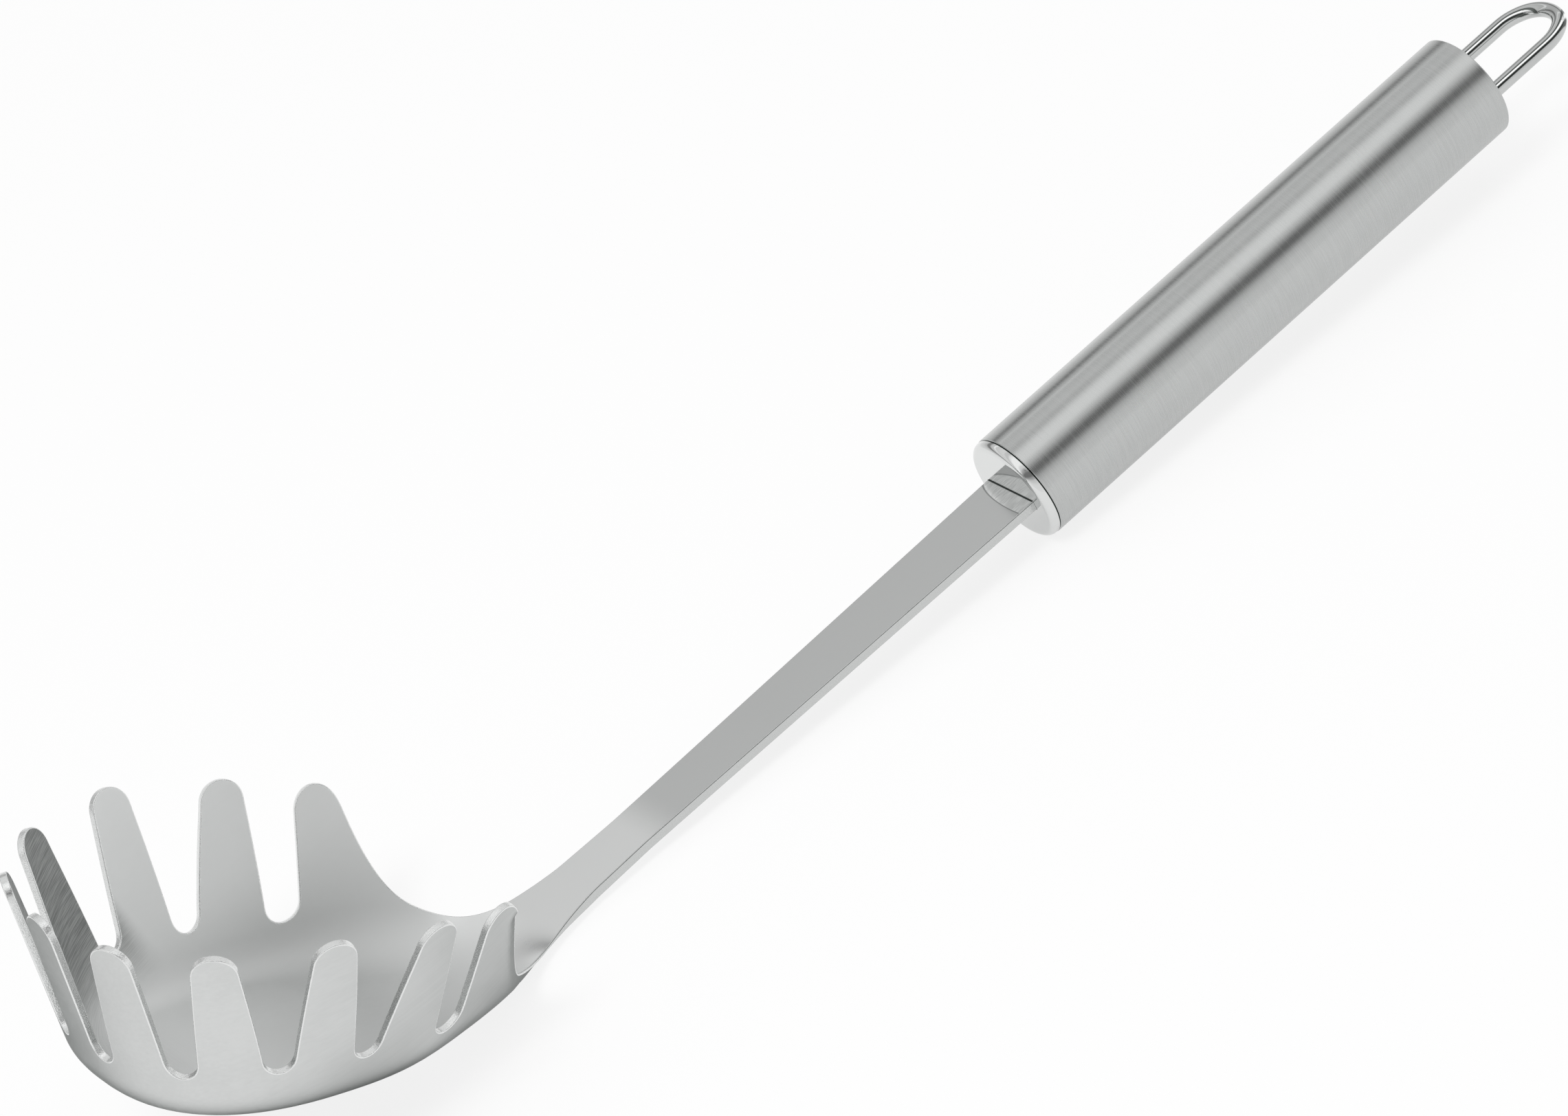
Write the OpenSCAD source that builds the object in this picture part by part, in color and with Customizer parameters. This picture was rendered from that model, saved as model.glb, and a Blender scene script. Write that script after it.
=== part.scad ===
// Pasta server: a stamped bowl with eleven tines on a flat shank, a round tube handle and a wire hanging loop.
// It lies as it does on a table: the bowl's floor and the lower front edge of the tube touch the ground plane.
// Each piece is drawn in the tool frame, with X along the handle towards the loop and its origin on the handle's
// axis where the tube begins, and lay_down() turns it into the part's own frame.

/* [Handle] */
// Outside diameter of the tube
tube_d = 20; // [17:0.5:24]
// Length of the tube
tube_len = 109; // [80:1:140]
// Wall of the tube
tube_wall = 0.8; // [0.6:0.1:1.2]
// Chamfer on the tube's outer edges
tube_chamfer = 0.25; // [0.1:0.05:0.4]

/* [Front cap] */
// How far the front cap stands proud of the tube
cap_proud = 1.65; // [1.2:0.05:3]
// Rounding of the front cap's rim
cap_rim_r = 1.3; // [0.4:0.1:1.5]
// How much smaller than the tube the front cap's head is, on the radius
cap_inset = 0.1; // [0.1:0.05:0.5]
// Wall of both caps
cap_wall = 1.2; // [0.8:0.1:2]
// Length of the caps' skirts inside the tube
cap_skirt = 6; // [4:0.5:12]
// Gap between the shank and its slot, all round
slot_gap = 0.05; // [0.02:0.01:0.2]

/* [Rear cap] */
// How deep the rear cap's face lies inside the tube's end
rear_recess = 0.6; // [0.2:0.1:2]

/* [Hanging loop] */
// Diameter of the wire
wire_d = 2.7; // [2:0.1:3.5]
// Gap between each leg of the wire and the inside of the rear cap's skirt
leg_clearance = 0.45; // [0.2:0.05:1.5]
// Length of the straight legs outside the tube
leg_out_len = 13.8; // [8:0.2:30]
// Length of the legs behind the rear cap's face
leg_in_len = 8; // [5:0.5:20]
// How much the radius of the bend's two shoulders is more than half the distance between the legs
shoulder_extra = 1.8; // [1:0.1:4]
// Gap between the wire and its holes, on the radius
wire_gap = 0.03; // [0.02:0.01:0.1]

/* [Shank] */
// Distance from the tube to the bend where the bowl's floor begins
shank_len = 126.2; // [100:1:150]
// Width of the shank at the tube
shank_w = 12.7; // [11:0.1:14]
// Width of the shank at its narrowest, before the neck
neck_w = 10.1; // [9:0.1:12]
// Thickness of the shank
shank_t = 1.8; // [1.4:0.1:2.4]
// How far the shank's middle lies below the handle's axis
shank_drop = 0.38; // [0:0.02:1]
// Length of the tang inside the tube
tang_len = 14; // [8:1:40]

/* [Bowl] */
// Angle that the bowl's floor rises at, against the shank
floor_angle = 28; // [20:0.5:35]
// Distance from the bend to the bowl's centre, along the floor
neck_len = 38.2; // [34:0.1:42]
// Distance from the bowl's centre to the foot of the front wall
floor_front_len = 29.2; // [26:0.1:33]
// Distance from the bowl's centre to the foot of each side wall
floor_side_w = 24.3; // [21:0.1:28]
// Slope of the front wall
front_slope = 73; // [65:1:80]
// Slope of the side walls
side_slope = 70.4; // [62:0.2:78]
// Radius of the bend at the foot of the front wall
front_bend_r = 8.8; // [5:0.1:12]
// Radius of the bend at the foot of the side walls
side_bend_r = 7.7; // [5:0.1:12]
// Radius of the bend between the shank and the floor
neck_bend_r = 23.5; // [15:0.5:28]
// Thickness of the sheet in the bowl and tines
sheet_t = 1.3; // [0.9:0.05:1.7]
// Thickness left at the edge between the rear tines and the shank, which is ground thin from below
neck_edge_t = 0.5; // [0.3:0.05:1.3]

/* [Tines] */
// Height of the front seven tines above the floor
tine_h = 33.6; // [26:0.2:42]
// Height of the slots' lowest points above the floor
slot_h = 9.4; // [7:0.1:14]
// Width of a slot at its bottom
slot_w = 5.2; // [4:0.1:6.5]
// Width of a tine where its tip begins to round
tip_w = 7.4; // [5:0.1:8.5]

/* [Hidden] */
$fn = 96;

// Handle, derived
tube_r = tube_d / 2;
bore_r = tube_r - tube_wall;
cap_r = tube_r - cap_inset;
// The cuts run past the faces that they open by this much
overrun = 1;

// Loop, derived: the tip's arc is what the two shoulders leave. The sine of their turn is this share, which
// puts the arcs' centres on round figures, so that they meet exactly.
shoulder_sine_share = 0.6;
shoulder_angle = asin(shoulder_sine_share);
wire_r = wire_d / 2;
leg_y = bore_r - cap_wall - wire_r - leg_clearance;
shoulder_r = leg_y + shoulder_extra;
tip_r = shoulder_r - (shoulder_r - leg_y) / cos(shoulder_angle);
rear_face_x = tube_len - rear_recess;
crown_x = tube_len + leg_out_len;
tip_centre_x = crown_x + (shoulder_r - tip_r) * shoulder_sine_share;
loop_tip_x = tip_centre_x + tip_r + wire_r;

// Outline of the floor, as powers of the two half ovals, and how fast the walls give way to the neck
front_oval_power = 2.35;
back_oval_power = 2.17;
neck_slope_power = 9;
neck_bend_power = 4.3;
// The bowl's back wall fades into the flat shank between these two shares of the bend's distance
flat_from_share = 0.995;
flat_to_share = 1.36;
// The shank is narrowest at this share of its length
narrow_share = 0.71;
// A quarter turn, in degrees
quarter = 90;

// Directions of the tines' tips from the bowl's centre, from the front, and their heights as shares of tine_h
tine_tip_angles = [0, 24.3, 49.3, 78.8, 110.9];
tine_h_shares = [1, 1, 1, 1, 0.905];
// Middle directions of the slots between them and each slot's height, as a share of slot_h
slot_angles = [11.0, 36.7, 64.2, 94.2, 126.0];
slot_h_shares = [0.97, 1, 1.01, 0.9, 0.74];
// The slots' round bottoms rise by this share of the slot's width
slot_rise_share = 0.55;
// The tips are half ellipses, this share of their width high
tip_round_share = 0.5;
// The rear pair of tines
rear_front_root_angle = 131.3;
rear_front_tip_angle = 129.5;
rear_tip_angle = 133.6;
rear_h_share = 0.82;
rear_round_share = 0.5;
// The front edge of the rear tines leans back, so the mesh lines that end there fan out by this angle
rear_fan_angle = 2.6;

// The long concave edge from the rear tine to the shank is one curve in plan, behind the bowl's centre.
// Its points are shares of the bend's distance along the floor and of the floor's half width across.
neck_curve_x_shares = [0.818, 0.994, 1.284, 1.57];
neck_curve_y_shares = [1.088, 0.51, 0.283, 0.224];
// The edge is ground thin from its start up to this share of the curve, and fades to full thickness at its end
ground_share = 0.62;

// Steps along each kind of edge, and rows from the centre outwards
slot_steps = 3;
side_steps = 2;
tip_steps = 4;
neck_steps = 14;
cut_steps = 4;
floor_row_shares = [0.5, 1];
bend_row_shares = [0.2, 0.4, 0.6, 0.8, 1];
wall_row_shares = [0.42, 0.82, 1];
// Half of the step over which slopes are measured
probe = 0.02;

function mix(a, b, k) = a + (b - a) * k;
function ease(k) = let (c = min(max(k, 0), 1)) c * c * (3 - 2 * c);
function unit(v) = v / norm(v);

// Floor outline, wall slope and bend radius in one direction from the bowl's centre
function floor_r(a) =
    let (
        reach = cos(a) >= 0 ? floor_front_len : neck_len,
        power = cos(a) >= 0 ? front_oval_power : back_oval_power
    )
    pow(pow(abs(cos(a)) / reach, power) + pow(abs(sin(a)) / floor_side_w, power), -1 / power);
function slope(a) =
    cos(a) >= 0
        ? mix(side_slope, front_slope, pow(cos(a), 2))
        : mix(side_slope, floor_angle, pow(abs(cos(a)), neck_slope_power));
function bend_r(a) =
    cos(a) >= 0
        ? mix(side_bend_r, front_bend_r, pow(cos(a), 2))
        : mix(side_bend_r, neck_bend_r, pow(abs(cos(a)), neck_bend_power));
function bend_reach(a) = bend_r(a) * tan(slope(a) / 2);

// Height of the sheet's middle above the floor, at a distance from the bowl's centre in one direction
function radial_h(r, a) =
    let (x = r - floor_r(a), reach = bend_reach(a), radius = bend_r(a))
    x < -reach ? 0
        : x < reach * cos(slope(a)) ? radius - sqrt(radius * radius - (x + reach) * (x + reach))
        : x * tan(slope(a));
// The same at a point in plan, where the back wall fades into the flat shank
function sheet_h(x, y) =
    let (
        round_h = radial_h(norm([x, y]), atan2(y, x)),
        k = ease((-x / neck_len - flat_from_share) / (flat_to_share - flat_from_share))
    )
    k == 0 ? round_h : mix(round_h, radial_h(-x, 180), k);

// Distances along the sheet from the centre: the floor, the bend, and the wall up to a height
function floor_run(a) = floor_r(a) - bend_reach(a);
function bend_run(a) = bend_r(a) * slope(a) * PI / 180;
function bend_h(a) = bend_r(a) * (1 - cos(slope(a)));
function run_at_h(a, h) = floor_run(a) + bend_run(a) + (h - bend_h(a)) / sin(slope(a));
function run_at_r(a, r) = floor_run(a) + bend_run(a)
    + (r - floor_r(a) - bend_reach(a) * cos(slope(a))) / cos(slope(a));
function r_at_run(a, s) =
    let (f = floor_run(a), b = bend_run(a))
    s < f ? s
        : s < f + b ? f + bend_r(a) * sin((s - f) / bend_r(a) * 180 / PI)
        : floor_r(a) + bend_reach(a) * cos(slope(a)) + (s - f - b) * cos(slope(a));
function r_at_h(a, h) = r_at_run(a, run_at_h(a, h));

// A width across a tine, as an angle seen from the bowl's centre
function half_angle(width, a, h) = asin(width / 2 / r_at_h(a, h));

// Rising edges of the sheet between the middle of a slot and the tip of a tine. Each edge point is [direction,
// distance along the sheet, direction of its mesh line at the centre, share of the grinding].
slot_rise = slot_w * slot_rise_share;
function side_foot_h(i) = slot_h * slot_h_shares[i] + slot_rise;
function tip_foot_h(top) = top - tip_w * tip_round_share;
function edge_point(a, h, ground = 0) = [a, run_at_h(a, h), a, ground];

// One half of a tine: side is -1 towards the front and 1 towards the shank, and slot is the slot beside it
function tine_half(i, side, slot) =
    let (
        top = tine_h * tine_h_shares[i],
        low = slot_h * slot_h_shares[slot],
        foot = side_foot_h(slot),
        shoulder = tip_foot_h(top),
        slot_a = slot_angles[slot],
        foot_a = slot_a - side * half_angle(slot_w, slot_a, foot),
        tip_a = tine_tip_angles[i],
        shoulder_a = tip_a + side * half_angle(tip_w, tip_a, shoulder)
    )
    concat(
        [for (j = [0 : slot_steps - 1]) let (t = quarter * j / slot_steps)
            edge_point(mix(slot_a, foot_a, sin(t)), mix(foot, low, cos(t)))],
        [for (j = [0 : side_steps - 1])
            edge_point(mix(foot_a, shoulder_a, j / side_steps), mix(foot, shoulder, j / side_steps))],
        [for (j = [0 : tip_steps - 1]) let (t = quarter * j / tip_steps)
            edge_point(mix(tip_a, shoulder_a, cos(t)), mix(shoulder, top, sin(t)))]
    );
function reversed(list) = [for (i = [len(list) - 1 : -1 : 0]) list[i]];

// Front edge of the rear tine, from the last slot up to its tip
last = len(slot_angles) - 1;
rear_top = tine_h * rear_h_share;
rear_round = tip_w * rear_round_share;
rear_shoulder = rear_top - rear_round;
rear_foot = side_foot_h(last);
function fanned(a, h) =
    [a, run_at_h(a, h), a + rear_fan_angle * ease((h - rear_foot) / (rear_shoulder - rear_foot)), 0];
rear_front_edge = concat(
    [for (j = [0 : slot_steps - 1]) let (t = quarter * j / slot_steps)
        edge_point(
            mix(slot_angles[last], rear_front_root_angle, sin(t)),
            mix(rear_foot, slot_h * slot_h_shares[last], cos(t)))],
    [for (j = [0 : side_steps - 1]) let (k = j / side_steps)
        fanned(mix(rear_front_root_angle, rear_front_tip_angle, k), mix(rear_foot, rear_shoulder, k))],
    [for (j = [0 : tip_steps - 1]) let (t = quarter * j / tip_steps)
        let (
            a = mix(rear_tip_angle, rear_front_tip_angle, cos(t)),
            h = mix(rear_shoulder, rear_top, sin(t))
        )
        [a, run_at_h(a, h), a + rear_fan_angle * cos(t), 0]]
);

// The neck curve, from the rear tine's shoulder to the shank
neck_points = [for (i = [0 : 3])
    [-neck_curve_x_shares[i] * neck_len, neck_curve_y_shares[i] * floor_side_w]];
function on_curve(p, k) =
    p[0] * pow(1 - k, 3) + p[1] * 3 * k * pow(1 - k, 2) + p[2] * 3 * k * k * (1 - k) + p[3] * pow(k, 3);
function plan_edge(p, ground) = let (a = atan2(p.y, p.x)) [a, run_at_r(a, norm(p)), a, ground];
neck_edge = [for (j = [0 : neck_steps]) let (k = j / neck_steps)
    plan_edge(on_curve(neck_points, k), 1 - ease((k - ground_share) / (1 - ground_share)))];
// The rounded back of the rear tip, level at the tip's top and in line with the neck curve where it meets it
function height_at(p) = radial_h(norm(p), atan2(p.y, p.x));
neck_top_a = neck_edge[0][0];
neck_top_h = height_at(neck_points[0]);
neck_next = mix(neck_points[0], neck_points[1], probe);
neck_lean = (atan2(neck_next.y, neck_next.x) - neck_top_a) / (neck_top_h - height_at(neck_next));
rear_back_a = neck_top_a - (rear_top - neck_top_h) * neck_lean;
rear_back_tip = [for (j = [0 : tip_steps - 1]) let (k = j / tip_steps)
    edge_point(
        mix(mix(rear_tip_angle, rear_back_a, k), mix(rear_back_a, neck_top_a, k), k),
        mix(rear_top, neck_top_h, k * k),
        ease(k))];

// Across the shank, where the bowl's mesh hands over to the shank's
cut_x = neck_points[3].x;
cut_half_w = neck_points[3].y;
cut_line = [for (j = [1 : cut_steps - 1]) plan_edge([cut_x, cut_half_w * (1 - 2 * j / cut_steps)], 0)];

// Half of the outline, from the front tip round to the shank
half_outline = concat(
    [edge_point(0, tine_h)],
    reversed(tine_half(0, 1, 0)),
    [for (i = [1 : last])
        each concat(
            [for (j = [1 : len(tine_half(i, -1, i - 1)) - 1]) tine_half(i, -1, i - 1)[j]],
            [edge_point(tine_tip_angles[i], tine_h * tine_h_shares[i])],
            reversed(tine_half(i, 1, i)))],
    [for (j = [1 : len(rear_front_edge) - 1]) rear_front_edge[j]],
    rear_back_tip,
    neck_edge
);
function mirrored(p) = [-p[0], p[1], -p[2], p[3]];
far_half = [for (i = [len(half_outline) - 1 : -1 : 1]) mirrored(half_outline[i])];
outline = concat(half_outline, cut_line, far_half);
lines = len(outline);
rows = len(floor_row_shares) + len(bend_row_shares) + len(wall_row_shares);

// Distance along the sheet of one row on one mesh line
function row_run(a, end, i) =
    let (f = floor_run(a), b = bend_run(a), n = len(floor_row_shares), m = n + len(bend_row_shares))
    i < n ? f * floor_row_shares[i]
        : i < m ? f + b * bend_row_shares[i - n]
        : mix(f + b, end, wall_row_shares[i - m]);
// Plan point of one row on one mesh line. A fanned line swings over to its edge point as it climbs.
function plan_point(p, i) =
    let (
        swing = (i + 1 - len(floor_row_shares) - len(bend_row_shares)) / len(wall_row_shares),
        a = mix(p[2], p[0], max(swing, 0)),
        s = row_run(a, p[1], i),
        r = r_at_run(a, s)
    )
    [r * cos(a), r * sin(a)];

// From the bowl's own frame, with its floor level, to the tool frame
floor_dir = [-cos(floor_angle), 0, sin(floor_angle)];
up_dir = [sin(floor_angle), 0, cos(floor_angle)];
bowl_centre = [-shank_len, 0, -shank_drop] + neck_len * floor_dir;
function to_tool(v) = bowl_centre + v.x * floor_dir + [0, v.y, 0] + v.z * up_dir;

// The sheet's normal, and its thickness, which grows towards the shank
function sheet_normal(x, y) = unit([
    sheet_h(x - probe, y) - sheet_h(x + probe, y),
    sheet_h(x, y - probe) - sheet_h(x, y + probe),
    2 * probe
]);
function sheet_thickness(x) =
    mix(sheet_t, shank_t, ease((-x / neck_len - flat_from_share) / (flat_to_share - flat_from_share)));
// Distance of a skin from the sheet's middle. Grinding takes the lower skin up.
function skin_gap(x, face, ground) =
    let (t = sheet_thickness(x))
    face > 0 ? t / 2 : ground * (t - neck_edge_t) - t / 2;
function skin_point(p, face, ground = 0) =
    to_tool([p.x, p.y, sheet_h(p.x, p.y)] + skin_gap(p.x, face, ground) * sheet_normal(p.x, p.y));

// Skins of the bowl: the centre, then row by row
function skin(face) = concat(
    [skin_point([0, 0], face)],
    [for (i = [0 : rows - 1]) for (p = outline)
        skin_point(plan_point(p, i), face, i == rows - 1 ? p[3] : 0)]
);
top_skin = skin(1);
bottom_skin = skin(-1);

// Shank stations from the cut to the tang's end, each with its half width
cut_tool_x = to_tool([cut_x, 0, sheet_h(cut_x, 0)]).x;
narrow_x = -shank_len * narrow_share;
stations = [[narrow_x, neck_w / 2], [-cap_proud, shank_w / 2], [tang_len, shank_w / 2]];
// Across one station: from the far side to the near side on top, then back below
function station_ring(s, face) = [for (j = [0 : cut_steps])
    [s[0], s[1] * (1 - 2 * j / cut_steps), face * shank_t / 2 - shank_drop]];

skin_count = len(top_skin);
shank_start = 2 * skin_count;
across = cut_steps + 1;
first_cut = len(half_outline) - 1;
head_points = concat(
    top_skin,
    bottom_skin,
    [for (s = stations) each concat(station_ring(s, 1), station_ring(s, -1))]
);

// Indices: a skin point, and a point across the shank. Station -1 is the bowl's own last row.
function skin_index(face, i, j) = (face > 0 ? 0 : skin_count) + 1 + i * lines + (j + lines) % lines;
function shank_index(k, face, j) =
    k < 0 ? skin_index(face, rows - 1, first_cut + j)
          : shank_start + k * 2 * across + (face > 0 ? 0 : across) + j;
function two_triangles(a, b, c, d) = [[a, b, c], [a, c, d]];

skin_faces = [for (j = [0 : lines - 1]) each concat(
    [[0, skin_index(1, 0, j + 1), skin_index(1, 0, j)]],
    [[skin_count, skin_index(-1, 0, j), skin_index(-1, 0, j + 1)]],
    [for (i = [0 : rows - 2]) each concat(
        two_triangles(skin_index(1, i, j), skin_index(1, i, j + 1),
            skin_index(1, i + 1, j + 1), skin_index(1, i + 1, j)),
        two_triangles(skin_index(-1, i, j), skin_index(-1, i + 1, j),
            skin_index(-1, i + 1, j + 1), skin_index(-1, i, j + 1)))])];
// The sheared edge all round the bowl, except where the shank goes on
edge_faces = [for (j = [0 : lines - 1])
    if (j < first_cut || j >= first_cut + cut_steps)
        each two_triangles(skin_index(1, rows - 1, j), skin_index(1, rows - 1, j + 1),
            skin_index(-1, rows - 1, j + 1), skin_index(-1, rows - 1, j))];
shank_faces = [for (k = [-1 : len(stations) - 2]) each concat(
    [for (j = [0 : cut_steps - 1]) each concat(
        two_triangles(shank_index(k, 1, j), shank_index(k, 1, j + 1),
            shank_index(k + 1, 1, j + 1), shank_index(k + 1, 1, j)),
        two_triangles(shank_index(k, -1, j), shank_index(k + 1, -1, j),
            shank_index(k + 1, -1, j + 1), shank_index(k, -1, j + 1)))],
    two_triangles(shank_index(k, 1, 0), shank_index(k + 1, 1, 0),
        shank_index(k + 1, -1, 0), shank_index(k, -1, 0)),
    two_triangles(shank_index(k, -1, cut_steps), shank_index(k + 1, -1, cut_steps),
        shank_index(k + 1, 1, cut_steps), shank_index(k, 1, cut_steps)))];
end = len(stations) - 1;
end_faces = [for (j = [0 : cut_steps - 1])
    each two_triangles(shank_index(end, 1, j), shank_index(end, 1, j + 1),
        shank_index(end, -1, j + 1), shank_index(end, -1, j))];

// Resting pose: the part turns about the tube's lower front edge until the bowl touches the same plane
tube_edge = [tube_chamfer, -tube_r];
rest_tilt = min([for (p = bottom_skin) atan2(p.z - tube_edge[1], tube_edge[0] - p.x)]);
function rested_x(x, z) = x * cos(rest_tilt) - z * sin(rest_tilt);
function rested_z(x, z) = x * sin(rest_tilt) + z * cos(rest_tilt);
front_x = min([for (p = concat(top_skin, bottom_skin)) rested_x(p.x, p.z)]);
back_x = rested_x(loop_tip_x - wire_r, 0) + wire_r;
middle_x = (front_x + back_x) / 2;

module lay_down() {
    translate([-middle_x, 0, -rested_z(tube_edge[0], tube_edge[1])])
        rotate([0, -rest_tilt, 0]) children();
}
// Turns a profile about the handle's axis
module about_axis() {
    rotate([0, quarter, 0]) rotate_extrude() children();
}

module head_and_shank() {
    color([0.78, 0.79, 0.79]) lay_down()
        polyhedron(points = head_points,
            faces = concat(skin_faces, edge_faces, shank_faces, end_faces), convexity = 12);
}

module handle_tube() {
    color([0.68, 0.69, 0.69]) lay_down() about_axis()
        polygon([
            [bore_r, 0],
            [tube_r - tube_chamfer, 0],
            [tube_r, tube_chamfer],
            [tube_r, tube_len - tube_chamfer],
            [tube_r - tube_chamfer, tube_len],
            [bore_r, tube_len]
        ]);
}

// Half section of the front cap: a cup with a proud face, its rim rounded
module front_cap_section() {
    difference() {
        union() {
            translate([0, -cap_proud]) square([cap_r - cap_rim_r, cap_proud]);
            translate([0, cap_rim_r - cap_proud]) square([cap_r, cap_proud - cap_rim_r]);
            translate([cap_r - cap_rim_r, cap_rim_r - cap_proud]) intersection() {
                circle(r = cap_rim_r);
                translate([0, -cap_rim_r]) square([cap_rim_r, cap_rim_r]);
            }
            square([bore_r, cap_skirt]);
        }
        translate([-overrun, cap_wall]) square([bore_r - cap_wall + overrun, cap_skirt]);
        translate([-overrun, -cap_proud - overrun]) square([overrun, cap_proud + cap_skirt + 2 * overrun]);
    }
}

module front_cap() {
    color([0.85, 0.86, 0.86]) lay_down() difference() {
        about_axis() front_cap_section();
        translate([-cap_proud - overrun, -shank_w / 2 - slot_gap, -shank_t / 2 - slot_gap - shank_drop])
            cube([
                cap_proud + cap_wall + 2 * overrun,
                shank_w + 2 * slot_gap,
                shank_t + 2 * slot_gap
            ]);
    }
}

module rear_cap() {
    color([0.80, 0.81, 0.81]) lay_down() difference() {
        about_axis() difference() {
            translate([0, rear_face_x - cap_skirt]) square([bore_r, cap_skirt]);
            translate([-overrun, rear_face_x - cap_skirt - overrun])
                square([bore_r - cap_wall + overrun, cap_skirt - cap_wall + overrun]);
            translate([-overrun, 0]) square([overrun, tube_len]);
        }
        for (side = [-1, 1])
            translate([rear_face_x - cap_wall - overrun, side * leg_y, 0])
                rotate([0, quarter, 0]) cylinder(r = wire_r + wire_gap, h = cap_wall + 2 * overrun);
    }
}

// One arc of the wire about a centre on the loop's plane
module wire_arc(centre, radius, from, turn) {
    translate(centre) rotate([0, 0, from]) rotate_extrude(angle = turn)
        translate([radius, 0]) circle(r = wire_r);
}

module hanging_loop() {
    color([0.85, 0.86, 0.86]) lay_down()
        for (side = [0, 1]) mirror([0, side, 0]) {
            translate([rear_face_x - leg_in_len, leg_y, 0])
                rotate([0, quarter, 0]) cylinder(r = wire_r, h = crown_x - rear_face_x + leg_in_len);
            wire_arc([crown_x, leg_y - shoulder_r, 0], shoulder_r, quarter - shoulder_angle, shoulder_angle);
            wire_arc([tip_centre_x, 0, 0], tip_r, 0, quarter - shoulder_angle);
        }
}

head_and_shank();
front_cap();
handle_tube();
rear_cap();
hanging_loop();
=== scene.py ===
"""Looks of the pasta server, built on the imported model.

The stamped head is built again from the same named sizes as the part's source, as a fine mesh with true
normals and rounded sheared edges. Every other piece is the CAD node with a material of its own. The sizes of
the shapes are in millimetres until the mesh is made. Everything after that is in metres.
"""

import math

import bpy
import numpy as np
from mathutils import Euler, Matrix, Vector
from mathutils.geometry import delaunay_2d_cdt


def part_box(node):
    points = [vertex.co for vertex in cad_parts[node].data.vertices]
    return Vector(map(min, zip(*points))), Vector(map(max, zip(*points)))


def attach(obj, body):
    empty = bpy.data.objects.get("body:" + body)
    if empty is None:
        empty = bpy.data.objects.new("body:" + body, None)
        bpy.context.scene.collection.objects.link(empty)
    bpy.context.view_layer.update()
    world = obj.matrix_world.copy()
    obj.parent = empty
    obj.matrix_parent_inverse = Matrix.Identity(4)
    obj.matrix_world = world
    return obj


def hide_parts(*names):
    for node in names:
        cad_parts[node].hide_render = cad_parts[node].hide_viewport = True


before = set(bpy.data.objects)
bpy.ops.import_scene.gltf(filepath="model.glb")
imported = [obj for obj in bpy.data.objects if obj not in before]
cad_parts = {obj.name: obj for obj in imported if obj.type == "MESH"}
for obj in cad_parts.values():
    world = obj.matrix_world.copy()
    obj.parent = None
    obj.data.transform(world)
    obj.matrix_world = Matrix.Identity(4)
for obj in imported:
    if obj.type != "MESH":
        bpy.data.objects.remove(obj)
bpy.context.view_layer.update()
MM = 0.001

# Sizes of the sheet, as in the part's source
SHANK_LEN = 126.2
SHANK_W = 12.7
NECK_W = 10.1
SHANK_T = 1.8
SHANK_DROP = 0.38
TANG_LEN = 14.0
CAP_PROUD = 1.65
FLOOR_ANGLE = 28.0
NECK_LEN = 38.2
FLOOR_FRONT_LEN = 29.2
FLOOR_SIDE_W = 24.3
FRONT_SLOPE = 73.0
SIDE_SLOPE = 70.4
FRONT_BEND_R = 8.8
SIDE_BEND_R = 7.7
NECK_BEND_R = 23.5
SHEET_T = 1.3
NECK_EDGE_T = 0.5
TINE_H = 33.6
SLOT_H = 9.4
SLOT_W = 5.2
TIP_W = 7.4
TUBE_R = 10.0
TUBE_LEN = 109.0
TUBE_CHAMFER = 0.25

# Powers and shares that shape the bowl, as in the part's source
FRONT_OVAL_POWER = 2.35
BACK_OVAL_POWER = 2.17
NECK_SLOPE_POWER = 9.0
NECK_BEND_POWER = 4.3
FLAT_FROM_SHARE = 0.995
FLAT_TO_SHARE = 1.36
NARROW_SHARE = 0.71
TINE_TIP_ANGLES = (0.0, 24.3, 49.3, 78.8, 110.9)
TINE_H_SHARES = (1.0, 1.0, 1.0, 1.0, 0.905)
SLOT_ANGLES = (11.0, 36.7, 64.2, 94.2, 126.0)
SLOT_H_SHARES = (0.97, 1.0, 1.01, 0.9, 0.74)
SLOT_RISE_SHARE = 0.55
TIP_ROUND_SHARE = 0.5
REAR_FRONT_ROOT_ANGLE = 131.3
REAR_FRONT_TIP_ANGLE = 129.5
REAR_TIP_ANGLE = 133.6
REAR_H_SHARE = 0.82
REAR_ROUND_SHARE = 0.5
NECK_CURVE_X_SHARES = (0.818, 0.994, 1.284, 1.57)
NECK_CURVE_Y_SHARES = (1.088, 0.51, 0.283, 0.224)
GROUND_SHARE = 0.62

# How finely the mesh follows the shape, in millimetres
OUTLINE_STEP = 0.35
OUTLINE_SMOOTHING = 0.45
GRID_STEP = 0.9
EDGE_CLEARANCE = 0.55
EDGE_ROUND = 0.22
PROBE = 0.02
JOIN_WITHIN = 0.000001
# How far in from the neck's edge the grinding reaches, in millimetres
GROUND_REACH = 2.6
# Smoothing lengths that the outline's softening takes in on either side
SMOOTHING_REACH = 3.0
# Outline points that distances are taken to at one time, which saves memory
BLOCK = 200
# Steps round the edge's rounding, along the neck, and along each other curve before it is spaced evenly
ROUND_STEPS = 3
NECK_STEPS = 96
CURVE_STEPS = 24
QUARTER_TURN = math.pi / 2.0
CURVE_TURNS = [QUARTER_TURN * j / CURVE_STEPS for j in range(CURVE_STEPS)]
CURVE_SHARES = [j / CURVE_STEPS for j in range(CURVE_STEPS)]
# The triangulation keeps only what lies inside the outline
INSIDE_ONLY = 1
# Material slots of the head's faces
INSIDE_SKIN = 0
SHEARED_EDGE = 1
OUTSIDE_SKIN = 2


def mix(a, b, k):
    """Goes from a to b as k goes from 0 to 1."""
    return a + (b - a) * k


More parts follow.
